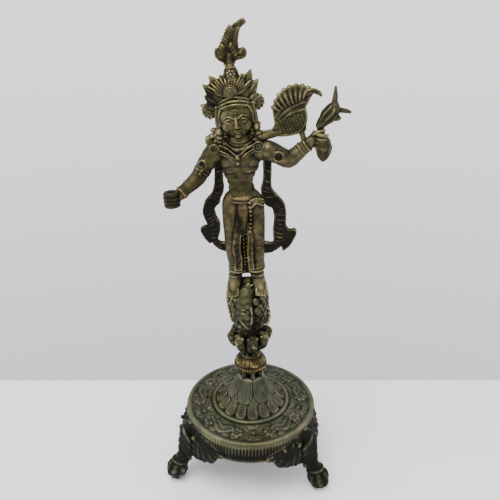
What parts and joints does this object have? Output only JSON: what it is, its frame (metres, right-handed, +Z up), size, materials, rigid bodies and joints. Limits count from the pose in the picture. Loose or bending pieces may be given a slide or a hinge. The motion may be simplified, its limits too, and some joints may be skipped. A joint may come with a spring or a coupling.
{
  "type": "standing deity statue",
  "caption": "Patinated cast brass standing deity on a beast capital and a domed lotus stand with claw feet, held together by a tang and nut.",
  "frame": {"origin": "centre of the bounding box in plan, at floor level under the feet", "axes": "+Z up, the figure faces -Y, +X is towards the figure's left hand and wand"},
  "size_m": [0.1307, 0.1249, 0.3403],
  "materials": {
    "relief_brass": "cast brass under a grey-green patina, rubbed on raised edges",
    "figure_brass": "cast brass under an olive-brown patina, worn to metal on high places",
    "worn_brass": "brass handled until the metal shows",
    "dull_steel": "dull mild steel with light rust"
  },
  "bodies": {
    "stand": {"dome_plate": "relief_brass", "gallery_ring": "relief_brass", "foot_left": "relief_brass", "foot_right": "relief_brass", "foot_back": "relief_brass", "foot_rivets": "worn_brass", "leaf_collar": "relief_brass", "knop": "worn_brass"},
    "figure": {"tang_rod": "dull_steel", "volute_collar": "figure_brass", "beast_mount": "figure_brass", "lower_body": "figure_brass", "torso": "figure_brass", "head": "figure_brass", "crown": "figure_brass", "crown_plume": "figure_brass", "ear_rosettes": "figure_brass", "arm_right": "figure_brass", "fist_right": "figure_brass", "arm_left": "figure_brass", "arm_pins": "worn_brass", "shoulder_brooches": "worn_brass", "flower_wand": "figure_brass", "shoulder_wing": "figure_brass", "scarf_right": "figure_brass", "scarf_left": "figure_brass"},
    "washer": {"clamp_washer": "dull_steel"},
    "nut": {"clamp_nut": "dull_steel"}
  },
  "joints": [
    {"name": "figure_turn", "type": "hinge", "parent": "stand", "child": "figure", "pos_m": [0.00183, -0.01048, 0.1], "axis": [0, 0, 1], "continuous": true},
    {"name": "washer_drop", "type": "slide", "parent": "figure", "child": "washer", "axis": [0, 0, -1], "range_m": [0, 0.002]},
    {"name": "nut_turn", "type": "hinge", "parent": "washer", "child": "nut", "pos_m": [0.00183, -0.01048, 0.0657], "axis": [0, 0, -1], "range_deg": [0, 720]}
  ],
  "couplings": [
    {"joint": "washer_drop", "follows": "nut_turn", "m_per_rad": 0.00015915}
  ]
}
